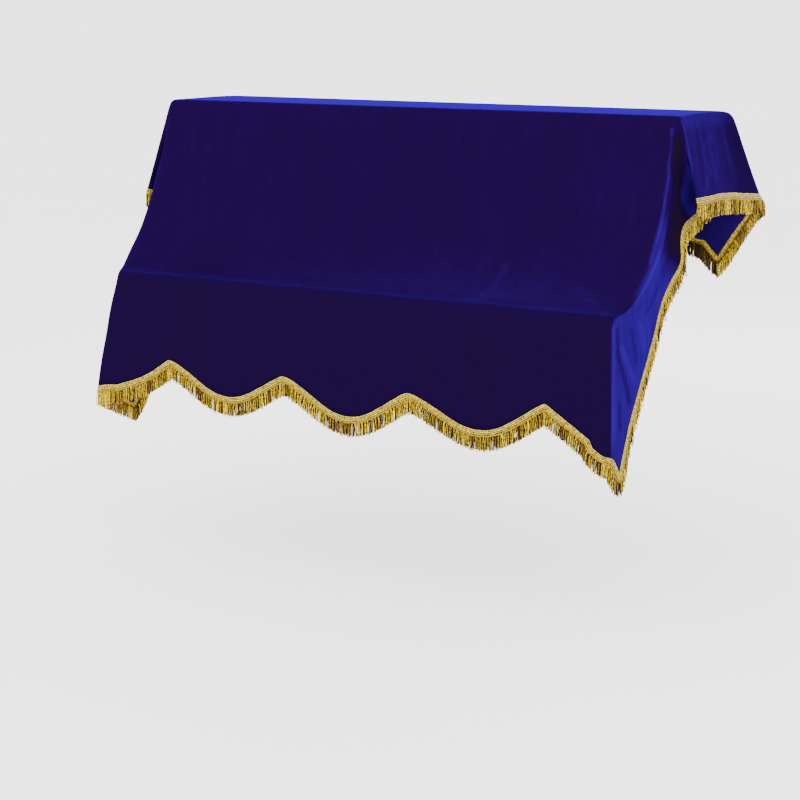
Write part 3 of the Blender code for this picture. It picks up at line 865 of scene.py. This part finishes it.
def strand_centre(root, out, side, normal, length, count, rng):
    """Centre line of one strand, from the heading down."""
    lean, sway, depth, curl = (rng.gauss(*spread) for spread in STRAND_BENDS)
    t = np.linspace(0, 1, count)
    droop, rate, most = STRAND_DROOP
    weight = np.clip(droop + rate * t, 0, most)[:, None]
    wave_in = (0.4 + t) * lean + np.sin(2.2 * np.pi * t) * sway
    wave_out = (0.4 + t) * depth + np.sin(2.6 * np.pi * t) * curl
    way = unit(out * (1 - weight) + DOWN * weight + side * wave_in[:, None]
               + normal * wave_out[:, None])
    step = length / (count - 1)
    return root + np.concatenate([np.zeros((1, 3)), np.cumsum(way[:-1] * step, 0)])


def loop_path(centre, side, normal, rng):
    """One cord that runs down beside the centre line, turns at the tip and comes back up."""
    count = len(centre)
    t = np.linspace(0, 1, count)
    kind = rng.random()
    if kind < OPEN_LOOPS:
        width, turns = rng.uniform(0.80, 1.20), rng.uniform(-0.08, 0.08)
    elif kind < UNTWISTED_LOOPS:
        width, turns = rng.uniform(0.75, 1.05), rng.choice((-0.5, 0.5))
    else:
        width, turns = 0.55, rng.choice((-2.2, 2.2))
    angle = rng.uniform(-0.5, 0.5) + 2 * np.pi * turns * t
    spread = LOOP_HALF_WIDTH * width * (0.72 + 0.36 * np.sin(np.pi * t) + 0.10 * t)
    offset = spread[:, None] * (np.cos(angle)[:, None] * side + np.sin(angle)[:, None] * normal)
    drop = unit(centre[-1] - centre[-2])
    turn = [centre[-1] + math.cos(a) * offset[-1] + math.sin(a) * spread[-1] * 1.2 * drop
            for a in (math.pi / 4, math.pi / 2, math.pi * 3 / 4)]
    path = np.concatenate([centre + offset, turn, (centre - offset)[::-1]])
    return path, unit(np.cross(drop, offset[-1]))


def tube(path, reference, radius, sides):
    """Rings of a tube along a path."""
    tangent = unit(np.gradient(path, axis=0))
    first = unit(reference - np.sum(tangent * reference, 1)[:, None] * tangent)
    second = np.cross(tangent, first)
    angle = np.linspace(0, 2 * np.pi, sides, endpoint=False)
    ring = (np.cos(angle)[None, :, None] * first[:, None] + np.sin(angle)[None, :, None]
            * second[:, None])
    return path[:, None] + ring * radius


class Cords:
    """Points, faces, tones and lengths of many tubes in one mesh."""

    def __init__(self):
        self.points, self.faces, self.tones, self.lengths = [], [], [], []
        self.base = 0

    def add(self, rings, tone, spacing):
        count, sides = rings.shape[:2]
        self.faces += (grid_faces(count, sides, closed=True) + self.base).tolist()
        self.faces.append([self.base + q for q in range(sides)][::-1])
        self.faces.append([self.base + (count - 1) * sides + q for q in range(sides)])
        self.points.append(rings.reshape(-1, 3))
        self.tones.append(np.full(count * sides, min(1.0, max(0.0, tone))))
        self.lengths.append(np.stack([np.repeat(np.arange(count) * spacing, sides),
                                      np.tile(np.arange(sides) * CORD_ROUND, count)], 1))
        self.base += count * sides

    def piece(self, name, material):
        piece = add_mesh(name, np.concatenate(self.points).tolist(), self.faces, [material])
        set_numbers(piece, "tone", np.concatenate(self.tones))
        set_uv(piece, "along", np.concatenate(self.lengths))
        return piece


def spaced(length, pitch, spread, rng):
    """Stations along a line, with uneven spacing."""
    places, s = [], END_GAP
    while s < length - END_GAP:
        places.append(s)
        s += pitch * rng.uniform(1 - spread, 1 + spread)
    return places


def make_strands(name, line, eased, stretch, material, seed, lighter):
    """The cords that hang from the lower edge of one heading, loops and fill."""
    rng = random.Random(seed)
    roots = line["points"] + eased * stretch[:, None] * (HEADING_WIDTH - STRAND_LAP)
    steps = np.linalg.norm(np.diff(roots, axis=0), axis=1)
    stations = np.concatenate([[0], np.cumsum(steps)])
    cords = Cords()
    phase = rng.uniform(0, 6)
    for row in STRAND_ROWS:
        for s in spaced(stations[-1], row.pitch, row.spread, rng):
            k = min(int(np.searchsorted(stations, s, side="right")) - 1, len(steps) - 1)
            share = (s - stations[k]) / max(steps[k], TINY)
            root, out, normal, along = (
                values[k] * (1 - share) + values[k + 1] * share
                for values in (roots, eased, line["normals"], line["along"]))
            out, normal, along = unit(out), unit(normal), unit(along)
            root = root + normal * (row.depth + rng.gauss(0, DEPTH_SPREAD))
            side = unit(along - DOWN * np.dot(along, DOWN) + along * 0.05)
            drift = sum(size * math.sin(s * rate + times * phase)
                        for size, rate, times in TONE_WAVES)
            # Painted light on cords from a hem's start that hang in shade
            if s < lighter.reach:
                drift += lighter.tone
            hang = STRAND_LENGTH * rng.uniform(*LENGTH_RANGE)
            centre = strand_centre(root, out, side, normal, hang, row.points, rng)
            if row.looped:
                path, reference = loop_path(centre, side, normal, rng)
                radius = CORD_RADIUS * rng.uniform(*RADIUS_RANGE)
            else:
                path, reference, radius = centre, side, FILL_RADIUS
            cords.add(tube(path, reference, radius, row.sides),
                      rng.gauss(row.tone, row.tone_spread) + drift, hang / row.points)
    return cords.piece(name, material)


def make_fringe():
    """Heading and strands on all four hems."""
    braid, gold = braid_material(), strand_material()
    lines = {side: hem_line(side) for side in HEMS}
    ends = {
        "back": (lines["left"]["outs"][0], lines["right"]["outs"][0]),
        "front": (lines["left"]["outs"][-1], lines["right"]["outs"][-1]),
        "left": (lines["back"]["outs"][0], lines["front"]["outs"][0]),
        "right": (lines["back"]["outs"][-1], lines["front"]["outs"][-1]),
    }
    pieces = []
    for seed, side in enumerate(HEMS):
        line = lines[side]
        eased, stretch = heading_frames(line, *ends[side])
        heading = make_heading("heading_" + side, line, eased, stretch, braid)
        strands = make_strands("strands_" + side, line, eased, stretch, gold, FIRST_SEED + seed,
                               LIGHTER_FRINGE.get(side, NO_LIGHTER_CORD))
        pieces.append((side, heading, strands))
    return pieces


# ---------------------------------------------------------------------------
# Floor, light and camera
# ---------------------------------------------------------------------------
FLOOR_Z = -1.19
FLOOR_REACH = 500.0
SURROUNDINGS_STRENGTH = 3.4
SENSOR_WIDTH = 36.0
LENS = 83.84
CAMERA_PLACE = (2.473, -4.335, 0.292)
# In degrees about X, Y and Z
CAMERA_TURN = (77.66, 0.11, 30.83)


def make_stage():
    """A pale floor where the piano would stand."""
    n = Nodes("pale_floor")
    coords = n.add("ShaderNodeTexCoord").outputs["Object"]
    clouds = n.noise(coords, 0.6, 2.0)
    color = n.ramp(clouds, ((0.2, (0.90, 0.90, 0.90)), (0.8, (0.92, 0.92, 0.92))))
    material = n.finished(color, {"Roughness": 0.9})
    corners = [(x * FLOOR_REACH, y * FLOOR_REACH, FLOOR_Z)
               for x, y in ((-1, -1), (1, -1), (1, 1), (-1, 1))]
    floor = add_mesh("studio_floor", corners, [(0, 1, 2, 3)], [material])


def add_area(name, location, target, size, power):
    """Soft square light aimed at a point."""
    light = bpy.data.lights.new(name, "AREA")
    light.shape = "SQUARE"
    light.size = size
    light.energy = power
    lamp = bpy.data.objects.new(name, light)
    lamp.location = location
    lamp.rotation_euler = (Vector(target) - Vector(location)).to_track_quat("-Z", "Y").to_euler()
    bpy.context.scene.collection.objects.link(lamp)


def make_light():
    """White surroundings with a soft light in front and another behind."""
    world = bpy.data.worlds.new("studio")
    bpy.context.scene.world = world
    world.use_nodes = True
    background = world.node_tree.nodes["Background"]
    background.inputs["Color"].default_value = (1.0, 1.0, 1.0, 1.0)
    background.inputs["Strength"].default_value = SURROUNDINGS_STRENGTH
    add_area("key", (-0.5, -5.0, 2.2), (0, 0, -0.3), 2.5, 200)
    add_area("back", (0.5, 3.5, 2.0), (0, 0, 0), 2.5, 120)


def make_camera():
    """The camera, in front of the cover, to its right and a little above its top."""
    camera = bpy.data.objects.new("camera", bpy.data.cameras.new("camera"))
    camera.data.sensor_width = SENSOR_WIDTH
    camera.data.lens = LENS
    camera.location = CAMERA_PLACE
    camera.rotation_euler = [math.radians(turn) for turn in CAMERA_TURN]
    camera.data.clip_end = 2 * FLOOR_REACH
    bpy.context.scene.collection.objects.link(camera)
    bpy.context.scene.camera = camera


def main():
    """Build the scene round the frame, hang each piece on the root body and hide the parts it
    replaces.
    """
    make_camera()
    sheet = make_sheet()
    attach(sheet, "root")
    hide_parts("cover_cloth")
    for side, heading, strands in make_fringe():
        for piece in (heading, strands):
            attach(piece, "root")
        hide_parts("fringe_" + side)
    make_stage()
    make_light()


main()
